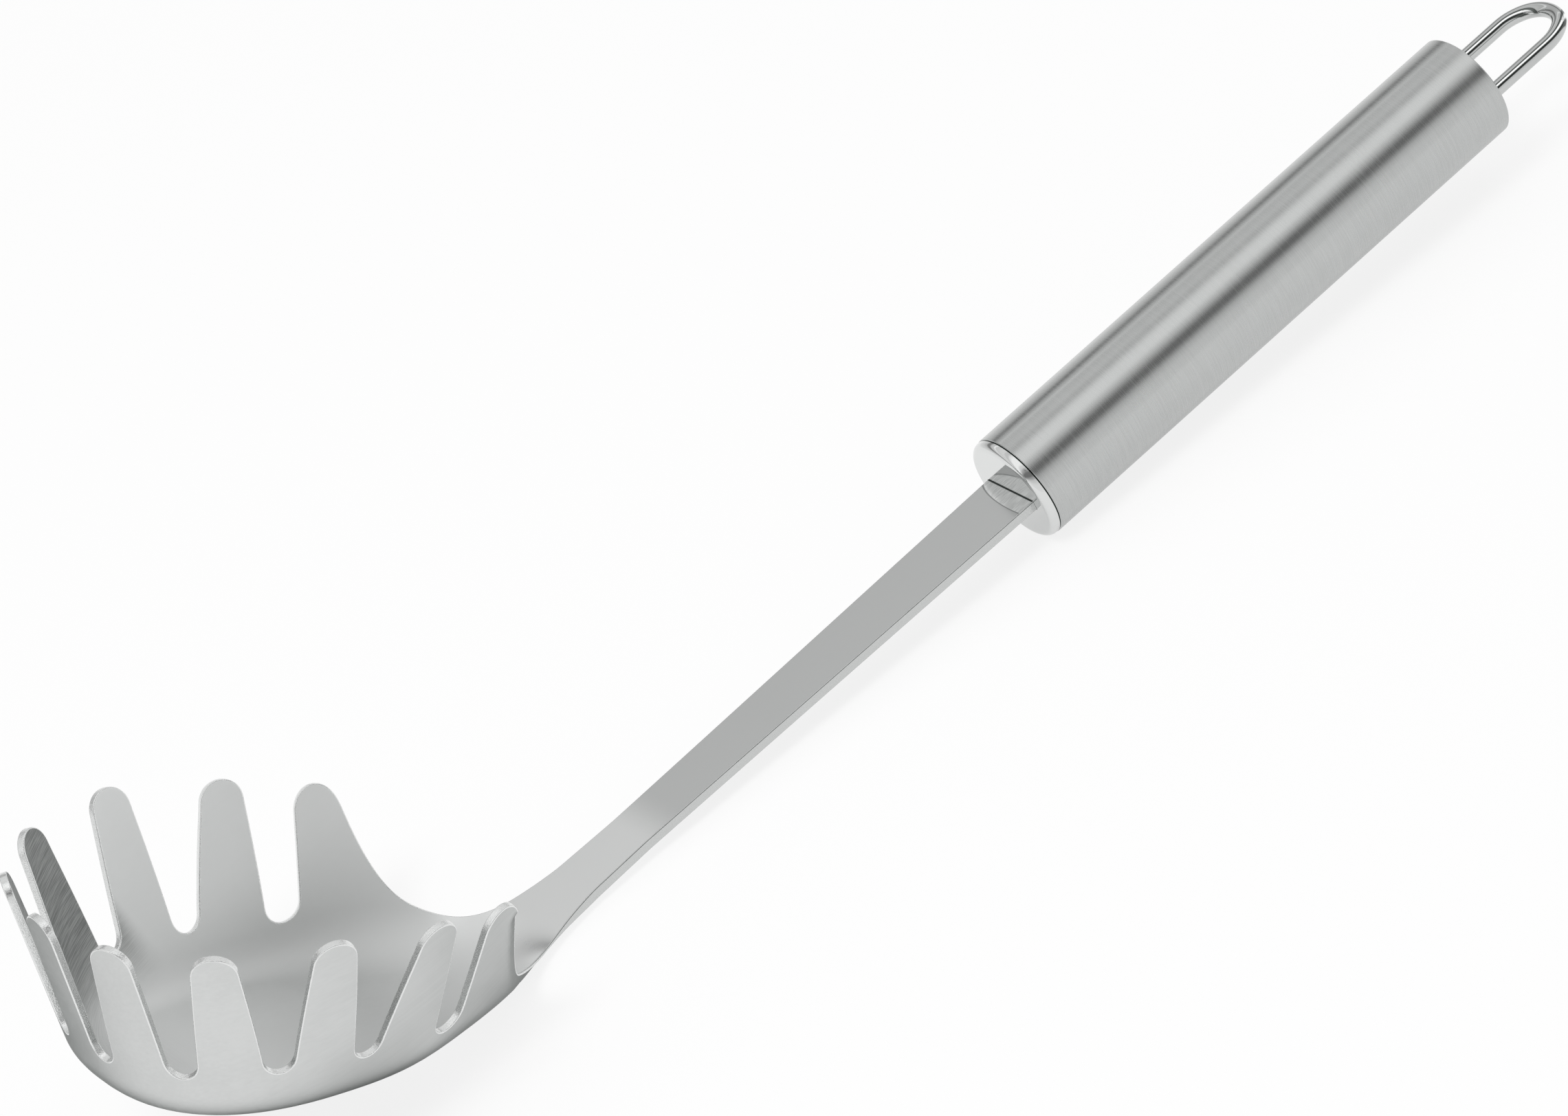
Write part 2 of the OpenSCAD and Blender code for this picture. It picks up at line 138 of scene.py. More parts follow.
def ease(k):
    """The same, with a soft start and end."""
    c = np.clip(k, 0.0, 1.0)
    return c * c * (3.0 - 2.0 * c)


def floor_r(a):
    """Distance from the bowl's centre to the floor's outline, in direction a."""
    c, s = np.cos(a), np.sin(a)
    reach = np.where(c >= 0.0, FLOOR_FRONT_LEN, NECK_LEN)
    power = np.where(c >= 0.0, FRONT_OVAL_POWER, BACK_OVAL_POWER)
    return (np.abs(c / reach) ** power + np.abs(s / FLOOR_SIDE_W) ** power) ** (-1.0 / power)


def slope(a):
    """Slope of the wall in direction a, in radians."""
    c = np.cos(a)
    front = mix(SIDE_SLOPE, FRONT_SLOPE, c * c)
    back = mix(SIDE_SLOPE, FLOOR_ANGLE, np.abs(c) ** NECK_SLOPE_POWER)
    return np.radians(np.where(c >= 0.0, front, back))


def bend_r(a):
    """Radius of the bend at the wall's foot in direction a."""
    c = np.cos(a)
    front = mix(SIDE_BEND_R, FRONT_BEND_R, c * c)
    back = mix(SIDE_BEND_R, NECK_BEND_R, np.abs(c) ** NECK_BEND_POWER)
    return np.where(c >= 0.0, front, back)


def bend_reach(a):
    """Distance from the floor's outline to where the bend begins."""
    return bend_r(a) * np.tan(slope(a) / 2.0)


def radial_h(r, a):
    """Height of the sheet's middle above the floor at distance r from the centre, in direction a."""
    x = r - floor_r(a)
    reach = bend_reach(a)
    radius = bend_r(a)
    bent = radius - np.sqrt(np.maximum(radius * radius - (x + reach) ** 2, 0.0))
    return np.where(x < -reach, 0.0, np.where(x < reach * np.cos(slope(a)), bent, x * np.tan(slope(a))))


def flatness(x):
    """0 in the bowl and 1 on the flat shank."""
    return ease((-x / NECK_LEN - FLAT_FROM_SHARE) / (FLAT_TO_SHARE - FLAT_FROM_SHARE))


def sheet_h(x, y):
    """Height of the sheet's middle above the floor at a point in plan."""
    round_h = radial_h(np.hypot(x, y), np.arctan2(y, x))
    return mix(round_h, radial_h(-x, np.full_like(x, math.pi)), flatness(x))


def floor_run(a):
    """Length of the flat floor in direction a."""
    return floor_r(a) - bend_reach(a)


def run_at_h(a, h):
    """Distance along the sheet from the centre to height h on the wall."""
    bend_h = bend_r(a) * (1.0 - np.cos(slope(a)))
    return floor_run(a) + bend_r(a) * slope(a) + (h - bend_h) / np.sin(slope(a))


def run_at_r(a, r):
    """Distance along the sheet from the centre to plan distance r on the wall."""
    past_bend = r - floor_r(a) - bend_reach(a) * np.cos(slope(a))
    return floor_run(a) + bend_r(a) * slope(a) + past_bend / np.cos(slope(a))


def r_at_run(a, s):
    """Plan distance from the centre after distance s along the sheet."""
    flat = floor_run(a)
    bent = bend_r(a) * slope(a)
    in_bend = flat + bend_r(a) * np.sin(np.clip(s - flat, 0.0, bent) / bend_r(a))
    on_wall = floor_r(a) + bend_reach(a) * np.cos(slope(a)) + (s - flat - bent) * np.cos(slope(a))
    return np.where(s < flat, s, np.where(s < flat + bent, in_bend, on_wall))


def half_angle(width, degrees, h):
    """Half of a width across a tine at height h, as an angle seen from the centre, in degrees."""
    a = np.radians(degrees)
    return math.degrees(math.asin(width / 2.0 / float(r_at_run(a, run_at_h(a, h)))))


def edge(degrees, h):
    """Outline point on the wall, as direction in degrees and distance along the sheet."""
    a = np.radians(degrees)
    return float(degrees), float(run_at_h(a, h))


def quarter(start, end):
    """Quarter oval from start to end, each (direction, height), level at start and upright at end."""
    return [
        edge(mix(start[0], end[0], math.sin(t)), mix(end[1], start[1], math.cos(t)))
        for t in CURVE_TURNS
    ]


def straight(start, end):
    """Straight side from start to end, each (direction, height)."""
    return [edge(mix(start[0], end[0], k), mix(start[1], end[1], k)) for k in CURVE_SHARES]


def tine_half(i, side, slot):
    """Outline from the middle of a slot to the tip of tine i, which lies on that side of the slot."""
    top = TINE_H * TINE_H_SHARES[i]
    low = SLOT_H * SLOT_H_SHARES[slot]
    foot = low + SLOT_W * SLOT_RISE_SHARE
    shoulder = top - TIP_W * TIP_ROUND_SHARE
    slot_a = SLOT_ANGLES[slot]
    foot_a = slot_a - side * half_angle(SLOT_W, slot_a, foot)
    tip_a = TINE_TIP_ANGLES[i]
    shoulder_a = tip_a + side * half_angle(TIP_W, tip_a, shoulder)
    rise = quarter((slot_a, low), (foot_a, foot))
    down = quarter((tip_a, top), (shoulder_a, shoulder))
    return rise + straight((foot_a, foot), (shoulder_a, shoulder)) + down[:0:-1]


def tip_point(i):
    """The top of tine i."""
    return edge(TINE_TIP_ANGLES[i], TINE_H * TINE_H_SHARES[i])


def neck_curve():
    """The long concave edge from the rear tine to the shank, in plan."""
    xs = [-share * NECK_LEN for share in NECK_CURVE_X_SHARES]
    ys = [share * FLOOR_SIDE_W for share in NECK_CURVE_Y_SHARES]
    points = []
    for j in range(NECK_STEPS + 1):
        k = j / NECK_STEPS
        weights = ((1 - k) ** 3, 3 * k * (1 - k) ** 2, 3 * k * k * (1 - k), k ** 3)
        points.append(tuple(sum(w * at for w, at in zip(weights, ats)) for ats in (xs, ys)))
    return points


def angle_and_height(place):
    """Direction in degrees, and the sheet's height, at a plan point on the wall."""
    a = math.atan2(place[1], place[0])
    return math.degrees(a), float(radial_h(np.float64(math.hypot(*place)), a))


def half_outline():
    """Half of the outline, from the front tine's tip round to the start of the shank, unrolled flat."""
    points = [tip_point(0)] + tine_half(0, 1, 0)[::-1]
    for i in range(1, len(SLOT_ANGLES)):
        points += tine_half(i, -1, i - 1)[1:] + [tip_point(i)] + tine_half(i, 1, i)[::-1]
    last = len(SLOT_ANGLES) - 1
    low = SLOT_H * SLOT_H_SHARES[last]
    foot = low + SLOT_W * SLOT_RISE_SHARE
    top = TINE_H * REAR_H_SHARE
    shoulder = top - TIP_W * REAR_ROUND_SHARE
    points += quarter((SLOT_ANGLES[last], low), (REAR_FRONT_ROOT_ANGLE, foot))[1:]
    points += straight((REAR_FRONT_ROOT_ANGLE, foot), (REAR_FRONT_TIP_ANGLE, shoulder))
    for t in CURVE_TURNS:
        turned = mix(REAR_TIP_ANGLE, REAR_FRONT_TIP_ANGLE, math.cos(t))
        points.append(edge(turned, mix(shoulder, top, math.sin(t))))
    neck = neck_curve()
    neck_a, neck_h = angle_and_height(neck[0])
    next_a, next_h = angle_and_height(neck[1])
    corner_a = neck_a - (top - neck_h) * (next_a - neck_a) / (neck_h - next_h)
    for k in CURVE_SHARES:
        turned = mix(mix(REAR_TIP_ANGLE, corner_a, k), mix(corner_a, neck_a, k), k)
        points.append(edge(turned, mix(top, neck_h, k * k)))
    for x, y in neck:
        a = math.atan2(y, x)
        points.append((math.degrees(a), float(run_at_r(a, math.hypot(x, y)))))
    return [(s * math.cos(math.radians(a)), s * math.sin(math.radians(a))) for a, s in points]


# From the bowl's frame to the tool frame, with its origin on the handle's axis where the tube begins
FLOOR_TURN = math.radians(FLOOR_ANGLE)
FLOOR_DIR = np.array((-math.cos(FLOOR_TURN), 0.0, math.sin(FLOOR_TURN)))
SIDE_DIR = np.array((0.0, 1.0, 0.0))
UP_DIR = np.array((math.sin(FLOOR_TURN), 0.0, math.cos(FLOOR_TURN)))
BOWL_CENTRE = np.array((-SHANK_LEN, 0.0, -SHANK_DROP)) + NECK_LEN * FLOOR_DIR


def unrolled_from_tool(x, y):
    """Unrolled place of a point on the flat shank, given in the tool frame."""
    u = float((np.array((x, y, -SHANK_DROP)) - BOWL_CENTRE) @ FLOOR_DIR)
    a = math.atan2(y, u)
    s = float(run_at_r(a, math.hypot(u, y)))
    return s * math.cos(a), s * math.sin(a)


def full_outline():
    """The whole outline of the head and shank, unrolled flat, anticlockwise from the front tine's tip."""
    half = half_outline()
    narrow_x = -SHANK_LEN * NARROW_SHARE
    stations = ((narrow_x, NECK_W / 2.0), (-CAP_PROUD, SHANK_W / 2.0), (TANG_LEN, SHANK_W / 2.0))
    half += [unrolled_from_tool(x, y) for x, y in stations]
    return np.array(half + [(x, -y) for x, y in half[:0:-1]])


def spaced_evenly(points, step):
    """The closed line through the points, with its corners softened and its points a step apart."""
    closed = np.vstack([points, points[:1]])
    run = np.concatenate([[0.0], np.cumsum(np.linalg.norm(np.diff(closed, axis=0), axis=1))])
    count = int(run[-1] / step)
    at = np.arange(count) * run[-1] / count
    even = np.stack([np.interp(at, run, closed[:, axis]) for axis in (0, 1)], axis=1)
    reach = int(SMOOTHING_REACH * OUTLINE_SMOOTHING / step)
    offsets = np.arange(-reach, reach + 1)
    weights = np.exp(-0.5 * (offsets * step / OUTLINE_SMOOTHING) ** 2)
    weights /= weights.sum()
    return sum(w * np.roll(even, -k, axis=0) for k, w in zip(offsets, weights))


def plan_of(flat):
    """Plan points of unrolled points."""
    a = np.arctan2(flat[:, 1], flat[:, 0])
    r = r_at_run(a, np.hypot(flat[:, 0], flat[:, 1]))
    return np.stack([r * np.cos(a), r * np.sin(a)], axis=1)


def sheet_points(plan):
    """Places, normals and thicknesses of the sheet's middle at plan points, in the bowl's frame."""
    x, y = plan[:, 0], plan[:, 1]
    places = np.stack([x, y, sheet_h(x, y)], axis=1)
    normals = np.stack([
        sheet_h(x - PROBE, y) - sheet_h(x + PROBE, y),
        sheet_h(x, y - PROBE) - sheet_h(x, y + PROBE),
        np.full_like(x, 2.0 * PROBE),
    ], axis=1)
    normals /= np.linalg.norm(normals, axis=1, keepdims=True)
    return places, normals, mix(SHEET_T, SHANK_T, flatness(x))


def inside(points, outline):
    """Which points lie inside the closed outline."""
    x, y = points[:, 0][:, None], points[:, 1][:, None]
    x1, y1 = outline[:, 0], outline[:, 1]
    x2, y2 = np.roll(x1, -1), np.roll(y1, -1)
    spans = (y1 <= y) != (y2 <= y)
    cross_x = x1 + (y - y1) * (x2 - x1) / np.where(y2 == y1, 1.0, y2 - y1)
    return (spans & (x < cross_x)).sum(axis=1) % 2 == 1


def distance_to(points, outline):
    """Distance from each point to the nearest outline point."""
    best = np.full(len(points), np.inf)
    for start in range(0, len(outline), BLOCK):
        part = outline[start:start + BLOCK]
        gap = np.linalg.norm(points[:, None, :] - part[None, :, :], axis=2).min(axis=1)
        best = np.minimum(best, gap)
    return best


def resting_tilt(bottom):
    """Angle that the tool frame turns through until the bowl lies on the plane of the tube's lower edge."""
    return float(np.min(np.arctan2(bottom[:, 2] + TUBE_R, TUBE_CHAMFER - bottom[:, 0])))


def to_tool(places):
    """Bowl-frame places in the tool frame."""
    return BOWL_CENTRE + places[:, :1] * FLOOR_DIR + places[:, 1:2] * SIDE_DIR + places[:, 2:] * UP_DIR


def ground_at(flat):
    """How much of the grinding reaches each unrolled point: 1 on the ground edge, and 0 away from it."""
    curve = np.array(neck_curve())
    a = np.arctan2(curve[:, 1], curve[:, 0])
    s = run_at_r(a, np.hypot(curve[:, 0], curve[:, 1]))
    curve = np.stack([s * np.cos(a), s * np.sin(a)], axis=1)
    along = np.arange(NECK_STEPS + 1) / NECK_STEPS
    fade = 1.0 - ease((along - GROUND_SHARE) / (1.0 - GROUND_SHARE))
    place = np.stack([flat[:, 0], np.abs(flat[:, 1])], axis=1)
    best = np.zeros(len(place))
    for point, share in zip(curve, fade):
        gap = np.linalg.norm(place - point, axis=1)
        best = np.maximum(best, share * (1.0 - ease(gap / GROUND_REACH)))
    return best


def under_normals(bottom, faces, normals):
    """Normals of the lower skin, from its own faces, so that they follow the ground edge."""
    a, b, c = bottom[faces[:, 0]], bottom[faces[:, 1]], bottom[faces[:, 2]]
    across = np.cross(c - a, b - a)
    found = np.zeros_like(bottom)
    for corner in range(3):
        np.add.at(found, faces[:, corner], across)
    found /= np.linalg.norm(found, axis=1, keepdims=True)
    facing = np.sign((found * -normals).sum(axis=1, keepdims=True))
    return found * facing


def band(upper, lower):
    """Faces between two rings of points."""
    corners = np.stack([upper, lower, np.roll(lower, -1), np.roll(upper, -1)], axis=1)
    return [tuple(face) for face in corners.tolist()]


def build_head():
    """The stamped head's fine mesh in the tool frame, with its normals and its faces' material slots."""
    outline = spaced_evenly(full_outline(), OUTLINE_STEP)
    count = len(outline)
    start, end = outline.min(axis=0), outline.max(axis=0)
    columns = np.arange(start[0], end[0], GRID_STEP)
    lines = np.arange(start[1], end[1], GRID_STEP)
    grid = np.stack(np.meshgrid(columns, lines, indexing="ij"), axis=-1)
    grid[1::2, :, 1] += GRID_STEP / 2.0
    grid = grid.reshape(-1, 2)
    grid = grid[inside(grid, outline)]
    grid = grid[distance_to(grid, outline) > EDGE_CLEARANCE]

    rim_places, rim_normals, rim_t = sheet_points(plan_of(outline))
    rim_low = rim_t / 2.0 - ground_at(outline) * (rim_t - NECK_EDGE_T)
    along = np.roll(rim_places, -1, axis=0) - np.roll(rim_places, 1, axis=0)
    outward = np.cross(along, rim_normals)
    outward /= np.linalg.norm(outward, axis=1, keepdims=True)

    # The skins stop short of the outline by the edge's rounding
    inputs = [Vector(p) for p in np.vstack([outline, grid]).tolist()]
    loop = [(i, (i + 1) % count) for i in range(count)]
    verts, _, faces, origins, _, _ = delaunay_2d_cdt(inputs, loop, [], INSIDE_ONLY, JOIN_WITHIN)
    index = {old: new for new, olds in enumerate(origins) for old in olds}
    flat = np.array([tuple(v) for v in verts])
    places, normals, thickness = sheet_points(plan_of(flat))
    rim = np.array([index[i] for i in range(count)])
    places[rim] = rim_places - EDGE_ROUND * outward
    normals[rim] = rim_normals
    thickness[rim] = rim_t
    low = thickness / 2.0 - ground_at(flat) * (thickness - NECK_EDGE_T)
    low[rim] = rim_low
    top = places + normals * thickness[:, None] / 2.0
    bottom = places - normals * low[:, None]

    # Both skins have the same triangles, which are first turned to run anticlockwise
    faces = np.array([tuple(f) for f in faces])
    side_b = flat[faces[:, 1]] - flat[faces[:, 0]]
    side_c = flat[faces[:, 2]] - flat[faces[:, 0]]
    clockwise = side_b[:, 0] * side_c[:, 1] - side_b[:, 1] * side_c[:, 0] <= 0.0
    faces[clockwise] = faces[clockwise][:, (0, 2, 1)]
    total = len(places)
    polygons = [tuple(f) for f in np.vstack([faces, faces[:, (0, 2, 1)] + total]).tolist()]
    kinds = [INSIDE_SKIN] * len(faces) + [OUTSIDE_SKIN] * len(faces)
    all_places = [top, bottom]
    all_normals = [normals, under_normals(bottom, faces, normals)]

    # Rings round the sheared edge, from the top skin over the rounding and down to the bottom skin
    turns = [QUARTER_TURN * j / ROUND_STEPS for j in range(1, ROUND_STEPS + 1)]
    rings = [(t, rim_t / 2.0 - EDGE_ROUND * (1.0 - math.cos(t)), 1.0) for t in turns]
    rings += [(t, EDGE_ROUND * (1.0 - math.cos(t)) - rim_low, -1.0) for t in turns[::-1]]
    edge_faces = []
    previous = rim
    for step, (t, up, side) in enumerate(rings):
        out = EDGE_ROUND * (math.sin(t) - 1.0)
        all_places.append(rim_places + rim_normals * up[:, None] + outward * out)
        all_normals.append(rim_normals * (side * math.cos(t)) + outward * math.sin(t))
        current = 2 * total + step * count + np.arange(count)
        edge_faces += band(previous, current)
        previous = current
    edge_faces += band(previous, total + rim)
    kinds += [SHEARED_EDGE] * len(edge_faces)
    # The bowl's frame is left-handed, so each face is turned over on its way into the tool frame
    polygons = [f[::-1] for f in polygons + edge_faces]
    turned_normals = np.vstack(all_normals) @ np.stack([FLOOR_DIR, SIDE_DIR, UP_DIR])
    return to_tool(np.vstack(all_places)), turned_normals, polygons, kinds, bottom


head_places, head_normals, head_faces, head_kinds, bottom_skin = build_head()

# From the tool frame to the part's frame: the tilt at rest, and a shift that puts the CAD box's foot at
# the origin
tilt = resting_tilt(to_tool(bottom_skin))
REST = np.array((
    (math.cos(tilt), 0.0, -math.sin(tilt)),
    (0.0, 1.0, 0.0),
    (math.sin(tilt), 0.0, math.cos(tilt)),
))
tube_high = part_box("handle_tube")[1]
tube_far = REST @ np.array((TUBE_LEN, 0.0, TUBE_CHAMFER - TUBE_R))
SHIFT = np.array((
    tube_high.x - tube_far[0] * MM,
    0.0,
    -(REST @ np.array((TUBE_CHAMFER, 0.0, -TUBE_R)))[2] * MM,
))


def rested(places):
    """Tool-frame places in millimetres, as part-frame places in metres."""
    return places @ REST.T * MM + SHIFT


def new_mesh(name, places, faces):
    """A mesh object in the part's frame."""
    mesh = bpy.data.meshes.new(name)
    mesh.from_pydata([tuple(p) for p in places.tolist()], [], faces)
    mesh.update()
    piece = bpy.data.objects.new(name, mesh)
    bpy.context.scene.collection.objects.link(piece)
    return piece


head = new_mesh("stamped_head", rested(head_places), head_faces)
for polygon, kind in zip(head.data.polygons, head_kinds):
    polygon.use_smooth = True
    polygon.material_index = kind
head.data.normals_split_custom_set_from_vertices([tuple(n) for n in (head_normals @ REST.T).tolist()])


def fill(tree, socket, value):
    """Fills a node's input with a value or with another node's output."""
    if isinstance(value, bpy.types.NodeSocket):
        tree.links.new(value, socket)
    else:
        socket.default_value = value


def add_node(tree, kind, inputs=None, **settings):
    """Adds a node, with its settings and its inputs."""
    made = tree.nodes.new(kind)
    for key, value in settings.items():
        setattr(made, key, value)
    for key, value in (inputs or {}).items():
        fill(tree, made.inputs[key], value)
    return made


def parts(tree, vector):
    """The X, Y and Z of a vector."""
    return add_node(tree, "ShaderNodeSeparateXYZ", {0: vector}).outputs


def maths(tree, operation, first, second=0.0, third=0.0):
    """Output of a maths node."""
    return add_node(tree, "ShaderNodeMath", {0: first, 1: second, 2: third}, operation=operation).outputs[0]


def away(tree, value, middle):
    """How far a value is from the middle one, either way."""
    return maths(tree, "ABSOLUTE", maths(tree, "SUBTRACT", value, middle))


def remap(tree, value, from_low, from_high, to_low, to_high):
    """Turns one range into another, with soft ends."""
    inputs = {
        "Value": value,
        "From Min": from_low,
        "From Max": from_high,
        "To Min": to_low,
        "To Max": to_high,
    }
    return add_node(tree, "ShaderNodeMapRange", inputs, interpolation_type="SMOOTHSTEP").outputs["Result"]


def rising(tree, value, start, end):
    """Goes from 0 at start to 1 at end."""
    return remap(tree, value, start, end, 0.0, 1.0)


def falling(tree, value, start, end):
    """Goes from 1 at start to 0 at end."""
    return remap(tree, value, start, end, 1.0, 0.0)


def noise(tree, vector, scale=1.0):
    """Noise between 0 and 1."""
    inputs = {"Vector": vector, "Scale": scale, "Detail": NOISE_DETAIL}
    return add_node(tree, "ShaderNodeTexNoise", inputs).outputs["Fac"]


def mixed_noise(tree, first, second, share):
    """The two noises added, with that share of the first."""
    return maths(tree, "MULTIPLY_ADD", first, share, maths(tree, "MULTIPLY", second, 1.0 - share))


def stretched(tree, vector, scales):
    """The vector with its three parts scaled one by one."""
    return add_node(tree, "ShaderNodeVectorMath", {0: vector, 1: scales}, operation="MULTIPLY").outputs[0]


def mixed(tree, factor, first, second):
    """Colour that goes from the first to the second as the factor goes from 0 to 1."""
    made = add_node(tree, "ShaderNodeMix", data_type="RGBA")
    sockets = {(socket.name, socket.type): socket for socket in made.inputs}
    fill(tree, sockets["Factor", "VALUE"], factor)
    fill(tree, sockets["A", "RGBA"], first)
    fill(tree, sockets["B", "RGBA"], second)
    return [socket for socket in made.outputs if socket.type == "RGBA"][0]


# Every shade of the steel is a grey with a little more green and blue in it than red
GREEN_CAST = 0.01
BLUE_CAST = 0.005
# Noise keeps mostly within this span, which is stretched to each range. Grains are counted to the metre,
# and places are in metres.
NOISE_LOW = 0.33
NOISE_HIGH = 0.67
NOISE_DETAIL = 3.0

# The sheet's greys and roughness inside and outside the bowl, and how much smoother the neck and shank are
INSIDE_GREYS = (0.6, 0.63)
INSIDE_ROUGHNESS = (0.64, 0.68)
INSIDE_SMOOTHER = 0.46
OUTSIDE_GREYS = (0.64, 0.69)
OUTSIDE_ROUGHNESS = (0.34, 0.39)
OUTSIDE_SMOOTHER = 0.16
OUTSIDE_GRAZING_SHARE = 0.2
# The neck is smoother, and its colour is brighter as a painted sheen
NECK_SHEEN_GREY = 0.83
SHANK_GREY = 0.615
CLOUD_GRAINS = 85.0
CLOUD_SHARE = 0.6
SCRATCH_GRAINS = (60.0, 1500.0, 1500.0)
SHEET_BUMP = 0.0000008
# Where the bowl's satin turns to the neck's polish and its painted sheen, and that to the shank's
NECK_SHEEN_FROM_X = -0.118
NECK_FROM_X = -0.096
NECK_TO_X = -0.084
SHANK_FROM_X = -0.062
SHANK_TO_X = -0.053
# Painted sheen: the inside is coloured paler high on the tines
PAINTED_SHEEN_GREY = 0.88
SHEEN_LOW_Z = 0.006
SHEEN_HIGH_Z = 0.028
# Painted shade: the outside is coloured darker low on the bowl, most of all at the middle of its length, for
# the shadowed floor that it mirrors
PAINTED_SHADE_GREY = 0.2
SHADE_LOW_Z = 0.005
SHADE_HIGH_Z = 0.030
SHADE_FRONT_FROM_X = -0.156
SHADE_FRONT_TO_X = -0.144
SHADE_FRONT_SHARE = 0.25
SHADE_BACK_FROM_X = -0.132
SHADE_BACK_TO_X = -0.114
# The front tines' insides are brushed, and coloured darker as painted shade, in a wedge that opens forward
# from the bowl's middle
BRUSHED_AND_SHADE_GREYS = (0.28, 0.46)
BRUSHED_GRAINS = (300.0, 60.0, 9000.0)
BRUSHED_MIDDLE_X = -0.1205
BRUSHED_SPREAD = 1.8
BRUSHED_SOFT = 0.0045
BRUSHED_LOW_Z = 0.019
BRUSHED_HIGH_Z = 0.037
# A bright patch painted on the shank's top beside the cap, with a darker rim, and the dark joint there
PATCH_GREYS = (0.74, 0.97)
PATCH_GRAINS = (400.0, 5000.0, 400.0)
PATCH_LEN = 0.0033
PATCH_W = 0.0108
PATCH_MIDDLE_Y = -0.0036
PATCH_SOFT_SHARE = 0.04
RIM_GREY = 0.3
RIM_SHARE = 0.05
JOINT_GREY = 0.03
JOINT_FROM = 0.0001
JOINT_TO = 0.00035
# The sheared edge, which is coloured darker on the shank, with a dark line painted along each corner there,
# where the rounding faces partly upwards
EDGE_GREY = 0.8
EDGE_SHANK_GREY = 0.58
EDGE_ROUGHNESS = (0.15, 0.35)
EDGE_GRAINS = 4200.0
EDGE_PATCH_GRAINS = 200.0
EDGE_SMOOTH_SHARE = 0.2
EDGE_BUMP = 0.00007
CORNER_GREY = 0.12
CORNER_FACING = 0.6
CORNER_SPREAD = 0.3
# The mirror finish of the two caps, and the dark seam on either side of where the tube begins
MIRROR_GREY = 0.72
MIRROR_ROUGHNESS = (0.03, 0.1)
MIRROR_GRAINS = 260.0
RIPPLE_GRAINS = 220.0
RIPPLE_BUMP = 0.000008
SEAM_GREY = 0.02
SEAM_HALF = 0.00016
SEAM_CORE_SHARE = 0.6
# The wire, and the lines painted along it: how far forward each faces, half its width, and its grey
WIRE_GREYS = (0.53, 0.58)
WIRE_ROUGHNESS = (0.03, 0.08)
WIRE_GRAINS = 120.0
WIRE_WANDER = 0.06
WIRE_LINES = (
    (0.42, 0.1, 0.12),
    (0.6, 0.08, 0.97),
    (0.79, 0.11, 0.1),
)
LINE_CORE_SHARE = 0.6
LINE_ABOVE = 0.2
# The brushed tube, with its grains counted along it and round it
TUBE_GREYS = (0.5, 0.545)
TUBE_ROUGHNESS = (0.22, 0.32)
TUBE_STRETCH = 0.85
TUBE_GRAINS_ALONG = 9000.0
TUBE_GRAINS_ROUND = 160.0
TUBE_CLOUD_GRAINS = 60.0
TUBE_CLOUD_SHARE = 0.4
TUBE_BUMP = 0.000003


def grey(level):
    """A shade of the steel, as a socket takes it."""
    return level, level + GREEN_CAST, level + BLUE_CAST, 1.0


def between(tree, value, ends):
    """Noise stretched from its usual span to run from one end to the other."""
    return remap(tree, value, NOISE_LOW, NOISE_HIGH, *ends)


def shaded(tree, value, greys):
    """Colour that runs from one grey to the other with the noise."""
    return mixed(tree, between(tree, value, (0.0, 1.0)), grey(greys[0]), grey(greys[1]))


def steel(name):
    """A new steel finish, with its nodes, its shader, and the place and direction that a point of it has."""
    made = bpy.data.materials.new(name)
    made.use_nodes = True
    tree = made.node_tree
    shader = tree.nodes["Principled BSDF"]
    shader.inputs["Metallic"].default_value = 1.0
    point = add_node(tree, "ShaderNodeTexCoord")
    return made, tree, shader, point.outputs["Object"], point.outputs["Normal"]


def bumped(tree, shader, height, depth):
    """Gives the shader a bump of that depth in metres."""
    bump = add_node(tree, "ShaderNodeBump", {"Height": height, "Distance": depth})
    tree.links.new(bump.outputs["Normal"], shader.inputs["Normal"])


def handle_axis(tree, place):
    """The direction of the handle's axis, and how far along it a place is."""
    axis = add_node(tree, "ShaderNodeCombineXYZ", {"X": math.cos(tilt), "Z": math.sin(tilt)}).outputs[0]
    along = add_node(tree, "ShaderNodeVectorMath", {0: place, 1: axis}, operation="DOT_PRODUCT")
    return axis, along.outputs["Value"]


def in_seam(tree, along):
    """1 in the seam between the front cap and the tube, and 0 elsewhere."""
    start = float(SHIFT @ np.array((math.cos(tilt), 0.0, math.sin(tilt))))
    return falling(tree, away(tree, along, start), SEAM_CORE_SHARE * SEAM_HALF, SEAM_HALF)


def patch_areas(tree, x, y):
    """1 on the bright patch beside the cap, 1 on its rim, and 1 at the joint with the cap."""
    face = float(rested(np.array([(-CAP_PROUD, 0.0, 0.0)]))[0][0])
    along = maths(tree, "DIVIDE", maths(tree, "SUBTRACT", x, face), PATCH_LEN)
    across = maths(tree, "DIVIDE", maths(tree, "SUBTRACT", y, PATCH_MIDDLE_Y), PATCH_W)
    square = maths(tree, "MULTIPLY_ADD", along, along, maths(tree, "MULTIPLY", across, across))
    reach = maths(tree, "SQRT", square)
    patch = falling(tree, reach, 1.0 - PATCH_SOFT_SHARE, 1.0)
    rim = falling(tree, away(tree, reach, 1.0), 0.0, RIM_SHARE)
    joint = falling(tree, maths(tree, "SUBTRACT", face, x), JOINT_FROM, JOINT_TO)
    return patch, rim, joint


